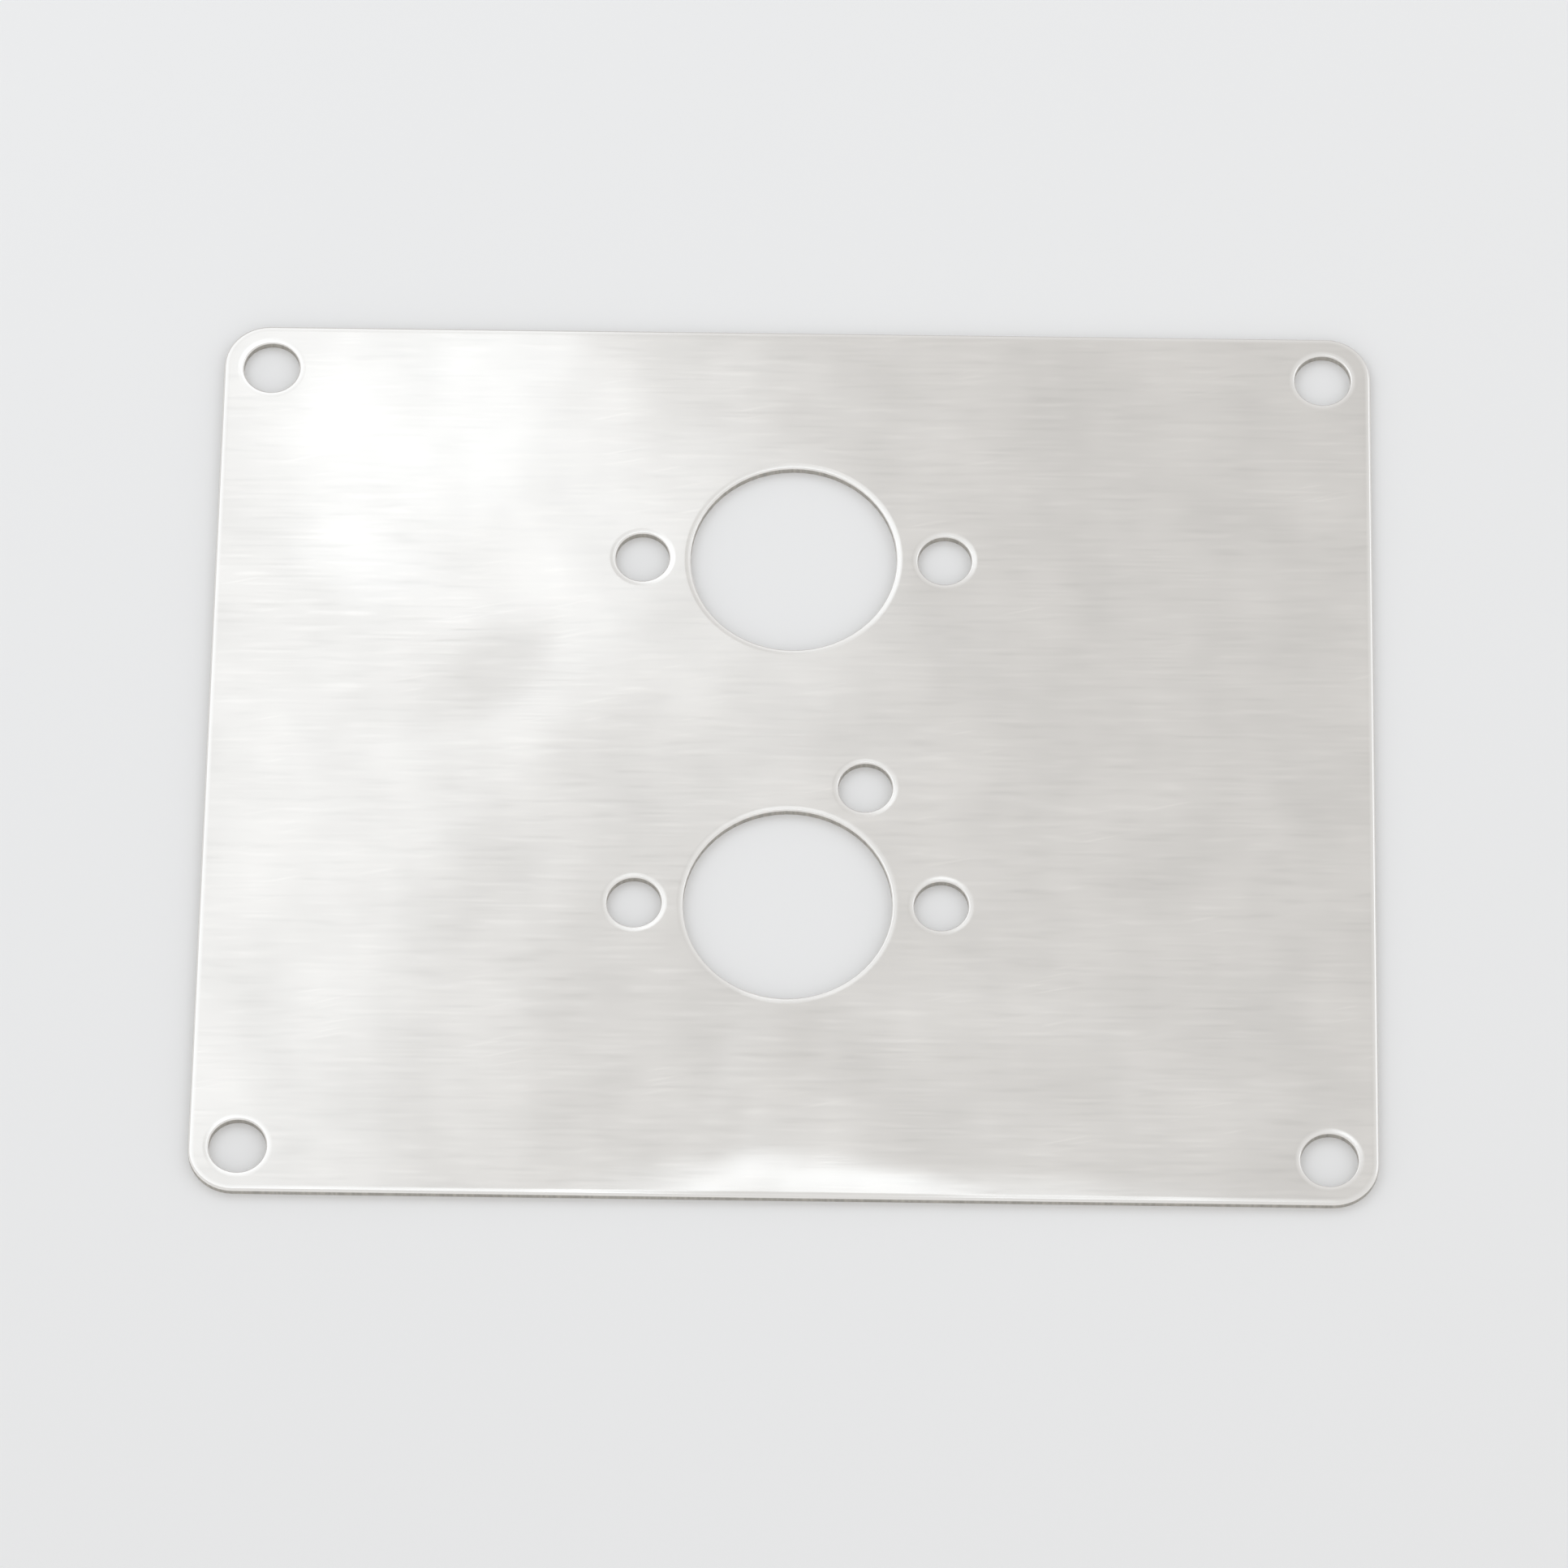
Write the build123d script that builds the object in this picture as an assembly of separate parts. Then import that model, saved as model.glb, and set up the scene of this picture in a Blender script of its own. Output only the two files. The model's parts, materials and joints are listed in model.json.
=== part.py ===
from build123d import *
import os

# Heater mounting plate: one flat sheet of brushed stainless steel. Its outline and all its holes are cut
# in one pass, and then every edge is deburred. The plate lies on its underside.
# Millimetres, +Z up. The origin is on the underside, at the middle of the outline. X runs along the long
# side. The heater's footprint lies towards +Y, so the edge at -Y is the front edge.

# The sheet
PLATE_LENGTH = 180.0
PLATE_WIDTH = 150.0
SHEET_THICKNESS = 1.5
CORNER_RADIUS = 7.0
OUTLINE_DEBURR_RADIUS = 0.4
HOLE_DEBURR_RADIUS = 0.3

# The four corner holes, which fix the plate down
FIXING_HOLE_DIAMETER = 8.7
FIXING_INSET_X = 7.5
FIXING_INSET_Y = 7.5

# The two ports, for the exhaust pipe and the combustion-air pipe, one behind the other.
# The middle of the heater's footprint is shifted from the plate's middle.
PORT_DIAMETER = 32.0
PORT_SPACING = 60.0
FOOTPRINT_SHIFT_Y = 4.5

# The four holes for the studs under the heater, one on each side of each port.
# The web is the metal that is left between a port and the hole beside it.
STUD_HOLE_DIAMETER = 8.3
STUD_WEB = 3.35

# The hole for the fuel line, on the slant from the front port. The angle is measured from +X.
FUEL_HOLE_DIAMETER = 8.3
FUEL_WEB = 3.15
FUEL_HOLE_ANGLE = 60.0


def holes(diameter, places):
    """One cylinder for each place, as tall as the sheet is thick, for cutting holes of one diameter."""
    at_mid_thickness = [Pos(x, y, SHEET_THICKNESS / 2) for x, y in places]
    return [place * Cylinder(diameter / 2, SHEET_THICKNESS) for place in at_mid_thickness]


def beside_port(hole_diameter, web):
    """Distance from a port's middle to the middle of a hole that stands one web away from the port."""
    return PORT_DIAMETER / 2 + web + hole_diameter / 2


def mounting_plate():
    """The whole plate: a rounded rectangle of sheet with eleven holes and deburred edges."""
    sheet = extrude(RectangleRounded(PLATE_LENGTH, PLATE_WIDTH, CORNER_RADIUS), SHEET_THICKNESS)
    by_height = sheet.edges().group_by(Axis.Z)
    sheet = fillet(by_height[0] + by_height[-1], OUTLINE_DEBURR_RADIUS)

    fixing_x = PLATE_LENGTH / 2 - FIXING_INSET_X
    fixing_y = PLATE_WIDTH / 2 - FIXING_INSET_Y
    front_port_y = FOOTPRINT_SHIFT_Y - PORT_SPACING / 2
    rear_port_y = FOOTPRINT_SHIFT_Y + PORT_SPACING / 2
    stud_x = beside_port(STUD_HOLE_DIAMETER, STUD_WEB)
    fuel_from_port = Vector(beside_port(FUEL_HOLE_DIAMETER, FUEL_WEB), 0).rotate(Axis.Z, FUEL_HOLE_ANGLE)

    fixing_places = [(x, y) for x in (-fixing_x, fixing_x) for y in (-fixing_y, fixing_y)]
    port_places = [(0, front_port_y), (0, rear_port_y)]
    stud_places = [(x, y) for x in (-stud_x, stud_x) for y in (front_port_y, rear_port_y)]
    fuel_place = [(fuel_from_port.X, front_port_y + fuel_from_port.Y)]
    sheet -= holes(FIXING_HOLE_DIAMETER, fixing_places)
    sheet -= holes(PORT_DIAMETER, port_places)
    sheet -= holes(STUD_HOLE_DIAMETER, stud_places)
    sheet -= holes(FUEL_HOLE_DIAMETER, fuel_place)

    rims = sheet.edges().filter_by(GeomType.CIRCLE).filter_by(lambda edge: edge.is_closed)
    return fillet(rims, HOLE_DEBURR_RADIUS)


os.makedirs("parts", exist_ok=True)
export_step(mounting_plate(), "parts/mounting_plate.step")
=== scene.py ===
import json
import math
import bpy
from mathutils import Matrix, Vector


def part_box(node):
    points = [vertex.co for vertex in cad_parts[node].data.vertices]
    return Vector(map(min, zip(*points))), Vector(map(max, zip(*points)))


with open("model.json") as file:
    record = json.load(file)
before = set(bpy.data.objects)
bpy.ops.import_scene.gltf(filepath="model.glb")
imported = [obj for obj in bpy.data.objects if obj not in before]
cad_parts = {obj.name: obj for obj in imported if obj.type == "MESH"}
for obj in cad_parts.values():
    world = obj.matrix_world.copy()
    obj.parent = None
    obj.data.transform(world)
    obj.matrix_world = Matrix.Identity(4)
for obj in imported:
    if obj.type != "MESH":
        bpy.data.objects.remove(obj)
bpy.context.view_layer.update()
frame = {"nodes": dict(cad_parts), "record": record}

# The mounting plate: one flat sheet of stainless steel, with its holes and outline laser-cut in one pass.
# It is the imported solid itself, which keeps its shape and gets its finish here. Its face was belt-ground
# along the long side, its edges were deburred afterwards, and it is slightly wavy, as thin sheet is.
PLATE = frame["nodes"]["mounting_plate"]
MILLIMETRE = 0.001
PLATE_LOW, PLATE_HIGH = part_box("mounting_plate")
HALF_LENGTH = (PLATE_HIGH[0] - PLATE_LOW[0]) / 2 / MILLIMETRE
HALF_WIDTH = (PLATE_HIGH[1] - PLATE_LOW[1]) / 2 / MILLIMETRE
CORNER_RADIUS = 7.0
NOISE_LOW, NOISE_HIGH = 0.3, 0.7  # nearly all of a noise lies between these
CORE_LOW, CORE_HIGH = 0.38, 0.62  # most of it lies between these


def linear(hex_colour):
    """An sRGB hex colour as linear RGBA, by the sRGB curve."""
    channels = [int(hex_colour[i:i + 2], 16) / 255 for i in (1, 3, 5)]
    return [c / 12.92 if c <= 0.04045 else ((c + 0.055) / 1.055) ** 2.4 for c in channels] + [1.0]


def add_node(tree, kind, settings=None, **sockets):
    """Adds one node with its settings. A socket is given by its name, with _ for a space, or as _ and its
    number. Its value is a plain value, or another node's output, which is then linked to it."""
    node = tree.nodes.new(kind)
    for name, value in (settings or {}).items():
        setattr(node, name, value)
    for name, value in sockets.items():
        socket = node.inputs[int(name[1:])] if name[0] == "_" else node.inputs[name.replace("_", " ")]
        if isinstance(value, bpy.types.NodeSocket):
            tree.links.new(value, socket)
        else:
            socket.default_value = value
    return node


def ground_lines(tree, here, length, pitch, turn, detail):
    """Noise drawn out into lines, length along them and pitch across them in millimetres. They run along the
    sheet's long side, turned by turn degrees."""
    drawn_out = add_node(tree, "ShaderNodeMapping", {"vector_type": "TEXTURE"}, Vector=here,
                         Rotation=(0, 0, math.radians(turn)),
                         Scale=(length * MILLIMETRE, pitch * MILLIMETRE, 1))
    return add_node(tree, "ShaderNodeTexNoise", Vector=drawn_out.outputs[0], Scale=1.0,
                    Detail=detail).outputs[0]


def soft_dent(tree, here, surface, middle, half_size, turn, rise):
    """The surface's height with a smooth dome added, or a hollow where rise is below zero, in millimetres.
    It has its full rise at its middle and ends half_size away: the rise times the smoothstep of one less the
    distance from its middle, counted in half sizes."""
    placed = add_node(tree, "ShaderNodeMapping", {"vector_type": "TEXTURE"}, Vector=here,
                      Location=(middle[0] * MILLIMETRE, middle[1] * MILLIMETRE, 0),
                      Rotation=(0, 0, math.radians(turn)),
                      Scale=(half_size[0] * MILLIMETRE, half_size[1] * MILLIMETRE, 1))
    away = add_node(tree, "ShaderNodeVectorMath", {"operation": "LENGTH"}, _0=placed.outputs[0])
    dome = add_node(tree, "ShaderNodeMapRange", {"interpolation_type": "SMOOTHSTEP"},
                    Value=away.outputs["Value"], From_Min=1.0, From_Max=0.0, To_Min=0.0, To_Max=rise)
    return add_node(tree, "ShaderNodeMath", {"operation": "ADD"}, _0=dome.outputs[0], _1=surface).outputs[0]


def from_hole_rim(tree, here, middle, spacing, radius):
    """Distance in millimetres from the rim of the nearest of one, two or four equal holes. The pattern is
    folded onto one hole by taking each coordinate from its middle without its sign, less half the spacing.
    The distance is the length of what is left, less the radius."""
    centred = add_node(tree, "ShaderNodeVectorMath", {"operation": "SUBTRACT"}, _0=here, _1=middle)
    folded = add_node(tree, "ShaderNodeVectorMath", {"operation": "ABSOLUTE"}, _0=centred.outputs[0])
    from_hole = add_node(tree, "ShaderNodeVectorMath", {"operation": "SUBTRACT"}, _0=folded.outputs[0],
                         _1=(spacing[0] / 2, spacing[1] / 2, 0))
    length = add_node(tree, "ShaderNodeVectorMath", {"operation": "LENGTH"}, _0=from_hole.outputs[0])
    return add_node(tree, "ShaderNodeMath", {"operation": "SUBTRACT"}, _0=length.outputs["Value"],
                    _1=radius).outputs[0]


def from_outline(tree, here):
    """Distance in millimetres in from the outline, which is a rounded rectangle. The plate is folded onto one
    quarter, and what is past the corner arc's middle is taken in both directions. The distance is the arc's
    radius, less the length of that, less the larger of the two where both fall short of the middle."""
    folded = add_node(tree, "ShaderNodeVectorMath", {"operation": "ABSOLUTE"}, _0=here)
    past = add_node(tree, "ShaderNodeVectorMath", {"operation": "SUBTRACT"}, _0=folded.outputs[0],
                    _1=(HALF_LENGTH - CORNER_RADIUS, HALF_WIDTH - CORNER_RADIUS, 0))
    beyond = add_node(tree, "ShaderNodeVectorMath", {"operation": "MAXIMUM"}, _0=past.outputs[0],
                      _1=(0, 0, 0))
    length = add_node(tree, "ShaderNodeVectorMath", {"operation": "LENGTH"}, _0=beyond.outputs[0])
    apart = add_node(tree, "ShaderNodeSeparateXYZ", Vector=past.outputs[0])
    larger = add_node(tree, "ShaderNodeMath", {"operation": "MAXIMUM"}, _0=apart.outputs["X"],
                      _1=apart.outputs["Y"])
    short = add_node(tree, "ShaderNodeMath", {"operation": "MINIMUM"}, _0=larger.outputs[0], _1=0.0)
    outside_arc = add_node(tree, "ShaderNodeMath", {"operation": "ADD"}, _0=length.outputs["Value"],
                           _1=short.outputs[0])
    return add_node(tree, "ShaderNodeMath", {"operation": "SUBTRACT"}, _0=CORNER_RADIUS,
                    _1=outside_arc.outputs[0]).outputs[0]


def from_cut_edges(tree, here):
    """Distance in millimetres from the nearest cut edge, a hole's rim or the outline. The holes are the
    record's mounts."""
    nearest = from_outline(tree, here)
    for mount in frame["record"]["mounts"]:
        dims = mount["dims"]
        radius = dims.get("hole_r_mm", dims.get("r_mm"))
        if radius:
            middle = (mount["pos_m"][0] / MILLIMETRE, mount["pos_m"][1] / MILLIMETRE, 0)
            spacing = (dims.get("spacing_x_mm", 0), dims.get("spacing_y_mm", 0))
            rim = from_hole_rim(tree, here, middle, spacing, radius)
            nearest = add_node(tree, "ShaderNodeMath", {"operation": "MINIMUM"}, _0=nearest,
                               _1=rim).outputs[0]
    return nearest


GRAIN_PATCH = 14.0  # mm between patches of finer and of coarser grain
LEAST_COARSE = 0.3  # share of coarse lines where the grain is finest
LIGHTEST_PRESS = 0.15  # share of the lines' contrast that is left where the belt pressed least
MEAN_LINE = 0.5  # mean of the ground lines
GRIT_HEIGHT = 0.012  # mm from the deepest ground line to the highest


def belt_grain(tree, here):
    """The ground lines, from 0 to 1. Fine and coarse lines are mixed by patches of noise, and then faded
    towards their mean in short streaks where the belt pressed less. Lines of a 240 grit belt are nearer
    0.1 mm apart, too fine to show, so they are drawn coarser here."""
    fine = ground_lines(tree, here, length=20.0, pitch=0.75, turn=0.0, detail=1.0)
    coarse = ground_lines(tree, here, length=16.0, pitch=1.4, turn=0.6, detail=1.0)
    patch = add_node(tree, "ShaderNodeTexNoise", Vector=here, Scale=1 / (GRAIN_PATCH * MILLIMETRE),
                     Detail=1.0)
    coarser = add_node(tree, "ShaderNodeMapRange", Value=patch.outputs[0], From_Min=CORE_LOW,
                       From_Max=CORE_HIGH, To_Min=LEAST_COARSE)
    mixed = add_node(tree, "ShaderNodeMix", _0=coarser.outputs[0], _2=fine, _3=coarse)
    streak = ground_lines(tree, here, length=6.0, pitch=1.3, turn=0.0, detail=0.0)
    pressed = add_node(tree, "ShaderNodeMapRange", Value=streak, From_Min=CORE_LOW, From_Max=CORE_HIGH,
                       To_Min=LIGHTEST_PRESS)
    return add_node(tree, "ShaderNodeMix", _0=pressed.outputs[0], _2=MEAN_LINE,
                    _3=mixed.outputs[0]).outputs[0]


SCRATCH_FAINT, SCRATCH_FULL = 0.70, 0.78  # noise from which a scratch shows, and shows fully
HANDLED_LITTLE, HANDLED_MOST = 0.52, 0.60  # cloudiness from which scratches show, and show fully


def handling_scratches(tree, here, cloud):
    """A few light scratches from handling, from 0 to 1. They lie at a slant to the grain. They are the peaks
    of a noise that is drawn out that way, and show only where the cloudy patches are brightest."""
    crossing = ground_lines(tree, here, length=12.0, pitch=0.5, turn=12.0, detail=0.0)
    scratch = add_node(tree, "ShaderNodeMapRange", Value=crossing, From_Min=SCRATCH_FAINT,
                       From_Max=SCRATCH_FULL)
    return add_node(tree, "ShaderNodeMapRange", Value=cloud, From_Min=HANDLED_LITTLE, From_Max=HANDLED_MOST,
                    To_Max=scratch.outputs[0]).outputs[0]


WAVE_LENGTH = 30.0  # mm between the sheet's own slight waves
WAVE_HEIGHT = 0.3  # mm from the lowest to the highest


def sheet_height(tree, here):
    """How high the sheet's surface stands, in millimetres: its own waves, two broad swellings, and a short
    and a long hollow along the front edge. They are far too shallow to see as shapes, and only move the
    reflections."""
    wave = add_node(tree, "ShaderNodeTexNoise", Vector=here, Scale=1 / (WAVE_LENGTH * MILLIMETRE), Detail=1.0,
                    Roughness=0.4)
    height = add_node(tree, "ShaderNodeMath", {"operation": "MULTIPLY"}, _0=wave.outputs[0],
                      _1=WAVE_HEIGHT).outputs[0]
    height = soft_dent(tree, here, height, middle=(-69, 28), half_size=(35, 26), turn=-18, rise=0.6)
    height = soft_dent(tree, here, height, middle=(-4, -58), half_size=(10, 24), turn=-12, rise=0.26)
    height = soft_dent(tree, here, height, middle=(-2, -82), half_size=(40, 16), turn=0, rise=-0.6)
    return soft_dent(tree, here, height, middle=(28, -80), half_size=(60, 11), turn=0, rise=-0.3)


FACE_ENDS, WALL_BEGINS = 0.6, 0.2  # upright part of the normal, in the deburred edge between face and wall


def cut_wall(tree, facing):
    """The share of cut wall, from 0 on a face to 1 where the surface stands on edge: the smoothstep of how
    little its normal points up or down."""
    parts = add_node(tree, "ShaderNodeSeparateXYZ", Vector=facing)
    upright = add_node(tree, "ShaderNodeMath", {"operation": "ABSOLUTE"}, _0=parts.outputs["Z"])
    return add_node(tree, "ShaderNodeMapRange", {"interpolation_type": "SMOOTHSTEP"},
                    Value=upright.outputs[0], From_Min=FACE_ENDS, From_Max=WALL_BEGINS).outputs[0]


CLOUD_SIZE = 17.0  # mm between cloudy patches
LASER_PITCH = 0.4  # mm between the upright lines that the laser left on the cut walls
RIM_OUTSIDE = 1.05  # mm in from the cut edge: where the deburred rim and its painted highlight end
RIM_INSIDE = 0.2  # mm in from the cut edge: from here to the edge the painted highlight has its full brightness
RIM_FALL = 0.04  # mm that the wheel wore the face down at the edge
LINE_TONE = 0.22  # tone gained from the darkest ground line to the brightest
DEEP_LINE_TONE = 0.38  # the same where the sheet swells and the belt bit deepest
FLAT_HEIGHT = 0.2  # mm: where the sheet stands higher than this, the belt bit deeper
SWOLLEN_HEIGHT = 0.5  # mm: from this height on it bit deepest
CLOUD_TONE = 0.25  # tone gained from the darkest cloudy patch to the brightest
SCRATCH_TONE = 0.035  # tone gained on a scratch
WALL_TONE = 0.15  # tone lost on the darkest laser line, and gained on the brightest
FACE_ROUGHNESS = (0.18, 0.21)  # least and most
WALL_ROUGHNESS = (0.38, 0.48)  # least and most
ACROSS_GRAIN_SPREAD = 0.4  # anisotropy: how much more a reflection spreads across the grain than along it


def brushed_stainless():
    """304 stainless sheet, belt-ground with fine grit: bright, slightly warm grey metal. Its fine grain
    along the long side draws every reflection out, and soft cloudy patches show where the belt pressed less.
    The deburring wheel left a thin rim along every cut edge, drawn in a brighter colour: a painted highlight.
    The cut walls are duller, and their darker colour is partly their own and partly painted shade.
    The tone that the face's colour is multiplied by is 1 at the mean of the lines and of the cloudy patches.
    """
    steel = "#E6E3DF"
    # Brighter than the steel: a painted highlight along the deburred rims.
    rim_painted_highlight = "#F6F4F1"
    # Darker than the steel: partly the laser-cut wall's own tone, partly painted shade on the cut faces.
    laser_cut_wall_and_shade = "#BBB7B0"
    material = bpy.data.materials.new("stainless_steel_belt_brushed")
    material.use_nodes = True
    tree = material.node_tree
    tree.nodes.clear()
    place = add_node(tree, "ShaderNodeTexCoord")
    here, facing = place.outputs["Object"], place.outputs["Normal"]
    flat_mm = add_node(tree, "ShaderNodeVectorMath", {"operation": "MULTIPLY"}, _0=here,
                       _1=(1 / MILLIMETRE, 1 / MILLIMETRE, 0)).outputs[0]

    grain = belt_grain(tree, here)
    cloud = add_node(tree, "ShaderNodeTexNoise", Vector=here, Scale=1 / (CLOUD_SIZE * MILLIMETRE),
                     Detail=2.0).outputs[0]
    scratches = handling_scratches(tree, here, cloud)
    height = sheet_height(tree, here)
    wall = cut_wall(tree, facing)
    laser_lines = add_node(tree, "ShaderNodeTexNoise", Vector=flat_mm, Scale=1 / LASER_PITCH,
                           Detail=1.0).outputs[0]
    # The deburred rim along every cut edge: it carries the painted highlight colour, and the wheel's wear in
    # the bump.
    rim = add_node(tree, "ShaderNodeMapRange", {"interpolation_type": "SMOOTHSTEP"},
                   Value=from_cut_edges(tree, flat_mm), From_Min=RIM_OUTSIDE, From_Max=RIM_INSIDE).outputs[0]

    bite = add_node(tree, "ShaderNodeMapRange", Value=height, From_Min=FLAT_HEIGHT, From_Max=SWOLLEN_HEIGHT,
                    To_Min=LINE_TONE, To_Max=DEEP_LINE_TONE)
    line_swing = add_node(tree, "ShaderNodeMath", {"operation": "SUBTRACT"}, _0=grain, _1=MEAN_LINE)
    tone = add_node(tree, "ShaderNodeMath", {"operation": "MULTIPLY_ADD"}, _0=line_swing.outputs[0],
                    _1=bite.outputs[0], _2=1 - CLOUD_TONE / 2)
    tone = add_node(tree, "ShaderNodeMath", {"operation": "MULTIPLY_ADD"}, _0=cloud, _1=CLOUD_TONE,
                    _2=tone.outputs[0])
    tone = add_node(tree, "ShaderNodeMath", {"operation": "MULTIPLY_ADD"}, _0=scratches, _1=SCRATCH_TONE,
                    _2=tone.outputs[0])
    face = add_node(tree, "ShaderNodeVectorMath", {"operation": "SCALE"}, _0=linear(steel)[:3],
                    Scale=tone.outputs[0])
    # The face, with the painted highlight along its deburred rims.
    face_and_rim_highlight = add_node(tree, "ShaderNodeMix", {"data_type": "RGBA"}, _0=rim, _6=face.outputs[0],
                     _7=linear(rim_painted_highlight))
    # The cut walls' darker colour, with its laser lines: partly their own tone and partly painted shade.
    wall_tone = add_node(tree, "ShaderNodeMapRange", Value=laser_lines, From_Min=NOISE_LOW,
                         From_Max=NOISE_HIGH, To_Min=1 - WALL_TONE, To_Max=1 + WALL_TONE)
    wall_steel_and_shade = add_node(tree, "ShaderNodeVectorMath", {"operation": "SCALE"}, _0=linear(laser_cut_wall_and_shade)[:3],
                          Scale=wall_tone.outputs[0])
    colour = add_node(tree, "ShaderNodeMix", {"data_type": "RGBA"}, _0=wall, _6=face_and_rim_highlight.outputs[2],
                      _7=wall_steel_and_shade.outputs[0])

    face_gloss = add_node(tree, "ShaderNodeMapRange", Value=grain, From_Min=NOISE_LOW, From_Max=NOISE_HIGH,
                          To_Min=FACE_ROUGHNESS[0], To_Max=FACE_ROUGHNESS[1])
    wall_gloss = add_node(tree, "ShaderNodeMapRange", Value=laser_lines, From_Min=NOISE_LOW,
                          From_Max=NOISE_HIGH, To_Min=WALL_ROUGHNESS[0], To_Max=WALL_ROUGHNESS[1])
    gloss = add_node(tree, "ShaderNodeMix", _0=wall, _2=face_gloss.outputs[0], _3=wall_gloss.outputs[0])

    worn = add_node(tree, "ShaderNodeMath", {"operation": "MULTIPLY_ADD"}, _0=rim, _1=-RIM_FALL, _2=height)
    wavy = add_node(tree, "ShaderNodeBump", Distance=MILLIMETRE, Height=worn.outputs[0])
    relief = add_node(tree, "ShaderNodeMix", _0=wall, _2=grain, _3=laser_lines)
    ground = add_node(tree, "ShaderNodeBump", Distance=GRIT_HEIGHT * MILLIMETRE, Height=relief.outputs[0],
                      Normal=wavy.outputs[0])

    # The grain runs along X on the faces and upright on the walls: the tangent lies across it.
    across_grain = add_node(tree, "ShaderNodeMix", {"data_type": "VECTOR"}, _0=wall, _4=(0, 1, 0),
                            _5=(0, 0, 1))
    metal = add_node(tree, "ShaderNodeBsdfPrincipled", Base_Color=colour.outputs[2], Metallic=1.0,
                     Roughness=gloss.outputs[0], Anisotropic=ACROSS_GRAIN_SPREAD, Normal=ground.outputs[0],
                     Tangent=across_grain.outputs[1])
    add_node(tree, "ShaderNodeOutputMaterial", Surface=metal.outputs[0])
    return material


PLATE.data.materials.clear()
PLATE.data.materials.append(brushed_stainless())

# The floor: a plain pale table top, larger than any view shows. The plate lies on it.
# It is painted board, matt, and it keeps the plate's soft shadow.
FLOOR_HALF_SIDE = 6.0  # metres
FLOOR_DROP = 0.02 * MILLIMETRE  # keeps the plate's underside from lying in the floor's own plane
FLOOR_ROUGHNESS = 0.9
floor_mesh = bpy.data.meshes.new("floor")
corner_signs = ((-1, -1), (1, -1), (1, 1), (-1, 1))
floor_corners = [(x * FLOOR_HALF_SIDE, y * FLOOR_HALF_SIDE, -FLOOR_DROP) for x, y in corner_signs]
floor_mesh.from_pydata(floor_corners, [], [(0, 1, 2, 3)])
floor = bpy.data.objects.new("floor", floor_mesh)
bpy.context.scene.collection.objects.link(floor)


def painted_board():
    """Matt white-painted board: an even pale grey with no gloss."""
    board_white = "#FAFAFA"
    material = bpy.data.materials.new("painted_board_matt")
    material.use_nodes = True
    paint = material.node_tree.nodes["Principled BSDF"]
    paint.inputs["Base Color"].default_value = linear(board_white)
    paint.inputs["Roughness"].default_value = FLOOR_ROUGHNESS
    return material


floor_mesh.materials.append(painted_board())

# The room: even and pale overhead, a little brighter low down in front and at both sides, and darker low down
# behind. The plate mirrors its walls in its rims and cut walls, and also in its face in a view from low down.
ROOM_OVERHEAD = 0.79  # brightness, where 1 is white
LOW_DOWN = -0.10  # added low down, all round
SIDE_WALLS = 0.20  # added low down, straight to the left and right
SIDE_WALL_NARROWING = 4.0  # power of the sideways part, which keeps the side walls narrow
FRONT_OVER_BACK = 0.15  # added low down in front, and taken away behind
WALLS_FADE = 0.75  # height where the walls begin, as the sine of the angle above the floor
WALLS_FULL = 0.30  # height below which they have their full brightness
world = bpy.data.worlds.new("pale_room")
bpy.context.scene.world = world
world.use_nodes = True
room = world.node_tree
towards = add_node(room, "ShaderNodeSeparateXYZ",
                   Vector=add_node(room, "ShaderNodeTexCoord").outputs["Generated"])
low_down = add_node(room, "ShaderNodeMapRange", {"interpolation_type": "SMOOTHSTEP"},
                    Value=towards.outputs["Z"], From_Min=WALLS_FADE, From_Max=WALLS_FULL)
sideways = add_node(room, "ShaderNodeMath", {"operation": "POWER"}, _0=towards.outputs["X"],
                    _1=SIDE_WALL_NARROWING)
in_front = add_node(room, "ShaderNodeMath", {"operation": "MULTIPLY_ADD"}, _0=towards.outputs["Y"],
                    _1=-FRONT_OVER_BACK, _2=LOW_DOWN)
walls = add_node(room, "ShaderNodeMath", {"operation": "MULTIPLY_ADD"}, _0=sideways.outputs[0],
                 _1=SIDE_WALLS, _2=in_front.outputs[0])
brightness = add_node(room, "ShaderNodeMath", {"operation": "MULTIPLY_ADD"}, _0=walls.outputs[0],
                      _1=low_down.outputs[0], _2=ROOM_OVERHEAD)
room.nodes["Background"].inputs["Color"].default_value = (1, 1, 1, 1)
room.links.new(brightness.outputs[0], room.nodes["Background"].inputs["Strength"])

# The lamps: cool soft panels overhead, level and facing down. The plate's face mirrors the two over its left
# side, one just under the other, and its right edge mirrors the one far out to the right. One hangs higher up
# behind the plate, and only the hollows along the front edge mirror it.
DAYLIGHT = "#EEF7FF"
PANEL_HEIGHT = 0.45
LOWER_PANEL_HEIGHT = 0.449
HIGH_PANEL_HEIGHT = 1.4


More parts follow.
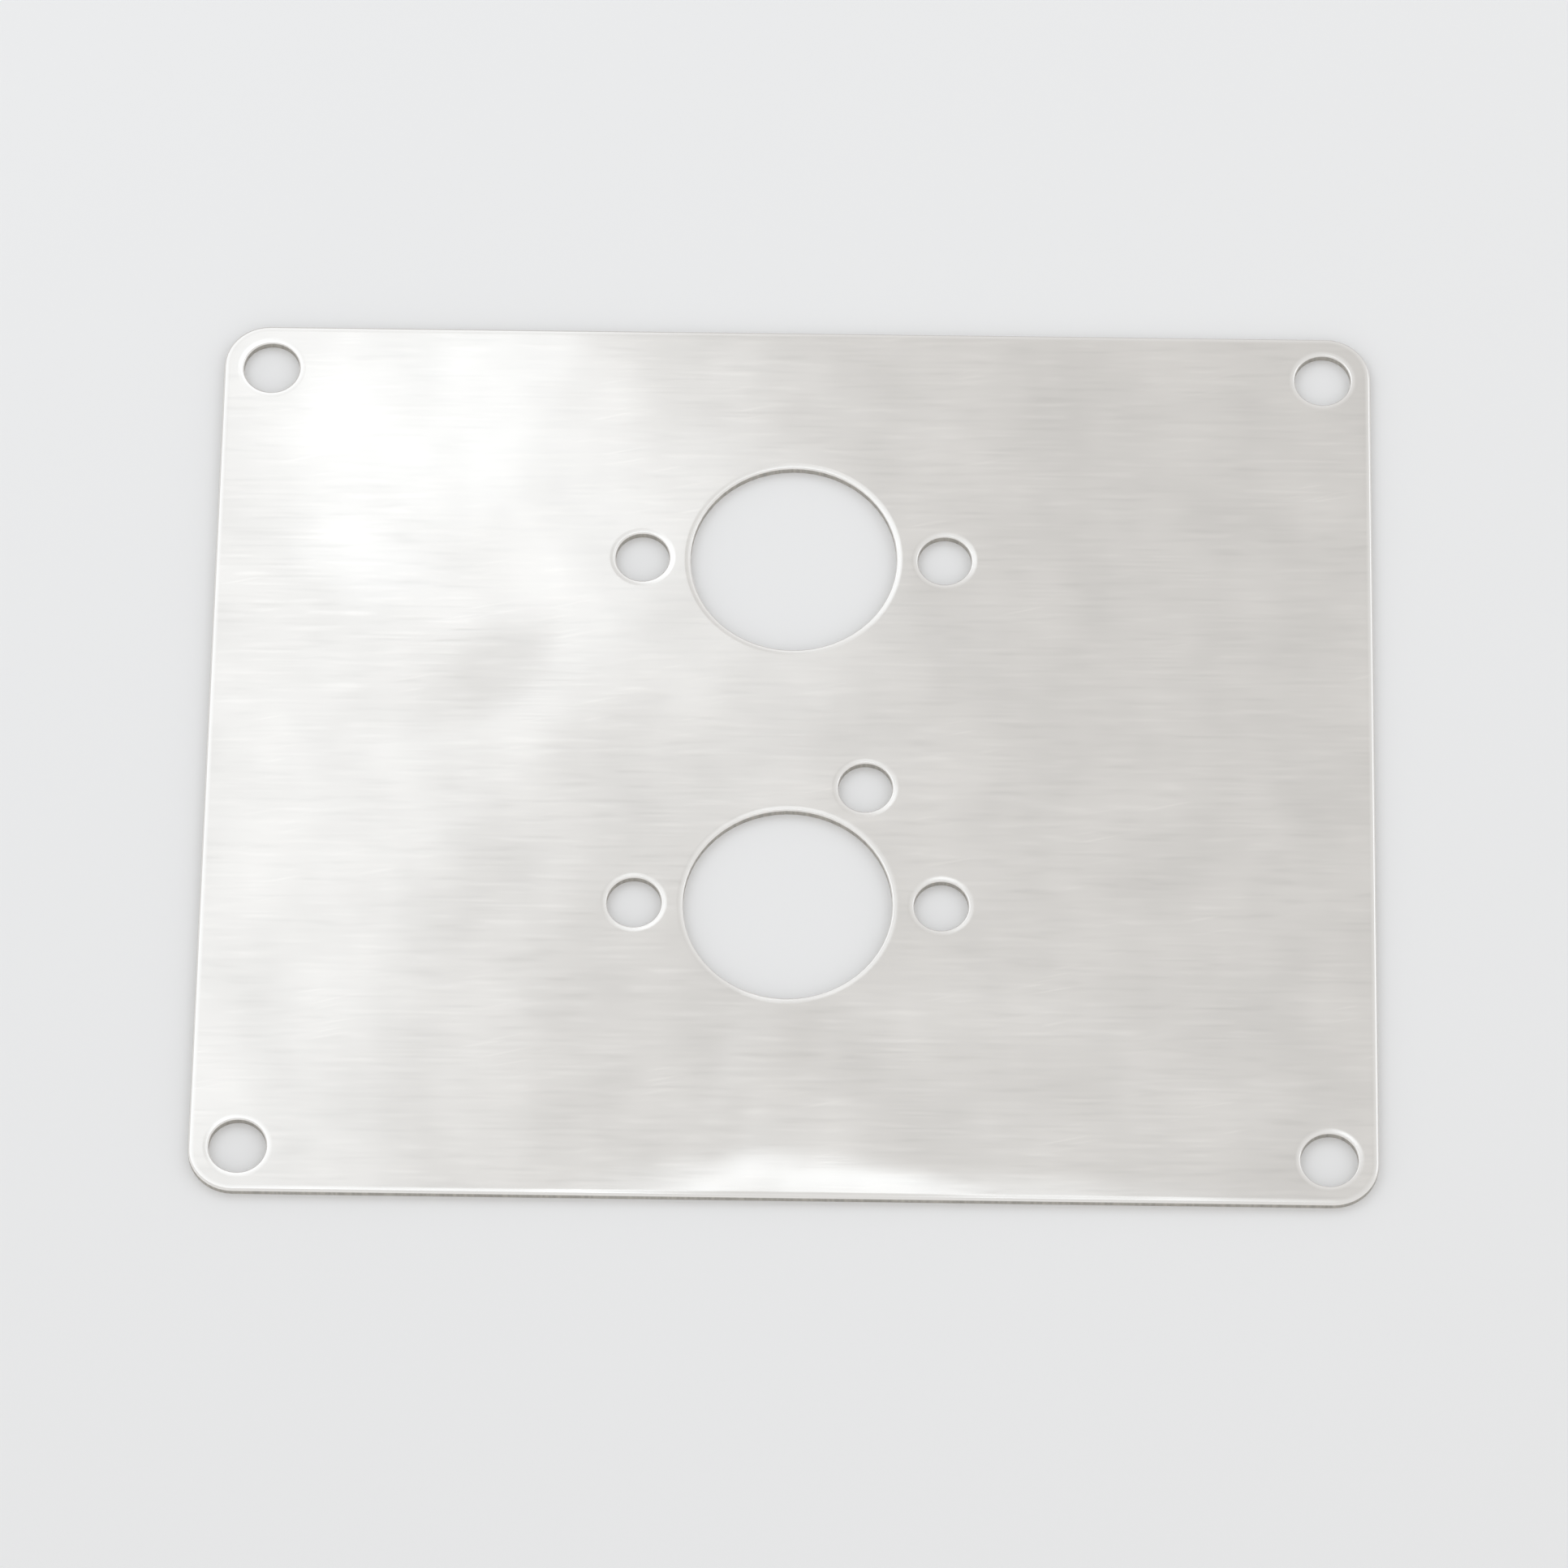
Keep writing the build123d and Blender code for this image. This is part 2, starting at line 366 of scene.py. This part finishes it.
def soft_panel(name, shape, middle, size, turn, level):
    """A level area lamp that faces down, turned about the vertical by turn degrees. Its power is its level
    times pi times its area, so that level is what a mirror would show, where 1 is white."""
    area = size[0] * size[1] * (math.pi / 4 if shape == "ELLIPSE" else 1)
    data = bpy.data.lights.new(name, "AREA")
    data.shape = shape
    data.size = size[0]
    data.size_y = size[1]
    data.energy = level * math.pi * area
    data.color = linear(DAYLIGHT)[:3]
    lamp = bpy.data.objects.new(name, data)
    bpy.context.scene.collection.objects.link(lamp)
    lamp.rotation_euler = (0, 0, math.radians(turn))
    lamp.location = middle
    lamp.visible_camera = False


soft_panel("panel_left", "RECTANGLE", middle=(-0.312, 0.270, PANEL_HEIGHT), size=(0.500, 0.500),
           turn=-10.4, level=0.39)
soft_panel("panel_left_bright", "ELLIPSE", middle=(-0.053, 0.282, LOWER_PANEL_HEIGHT), size=(0.140, 0.060),
           turn=-24, level=0.60)
soft_panel("panel_right", "RECTANGLE", middle=(0.650, 0.300, PANEL_HEIGHT), size=(0.700, 0.400),
           turn=0, level=0.45)
soft_panel("panel_high", "RECTANGLE", middle=(-0.010, 0.352, HIGH_PANEL_HEIGHT), size=(0.240, 0.160),
           turn=0, level=1.15)

# The camera: the photograph's view, from in front and above through a long lens.
# The values were found by matching the holes' rims and the plate's edges.
IMAGE_SIDE = 1932  # pixels
FOCAL_PIXELS = 12654
SENSOR_WIDTH = 36.0  # mm
CAMERA_DISTANCE = 1579.8 * MILLIMETRE
CAMERA_TILT = math.radians(27.19)
CAMERA_TURN = math.radians(1.291)
CAMERA_ROLL = math.radians(-0.416)
AIM_POINT = (-0.87 * MILLIMETRE, -4.92 * MILLIMETRE, 1.5 * MILLIMETRE)
camera_data = bpy.data.cameras.new("camera")
camera_data.sensor_width = SENSOR_WIDTH
camera_data.lens = FOCAL_PIXELS / IMAGE_SIDE * SENSOR_WIDTH
camera_data.clip_start = 0.05
camera_data.clip_end = 50.0
camera = bpy.data.objects.new("camera", camera_data)
bpy.context.scene.collection.objects.link(camera)
upright = Matrix.Rotation(CAMERA_TURN, 4, "Z") @ Matrix.Rotation(CAMERA_TILT, 4, "X")
rolled = upright @ Matrix.Rotation(CAMERA_ROLL, 4, "Z")
camera.matrix_world = Matrix.Translation(AIM_POINT) @ rolled @ Matrix.Translation((0, 0, CAMERA_DISTANCE))
bpy.context.scene.camera = camera
bpy.context.scene.view_settings.view_transform = "Standard"
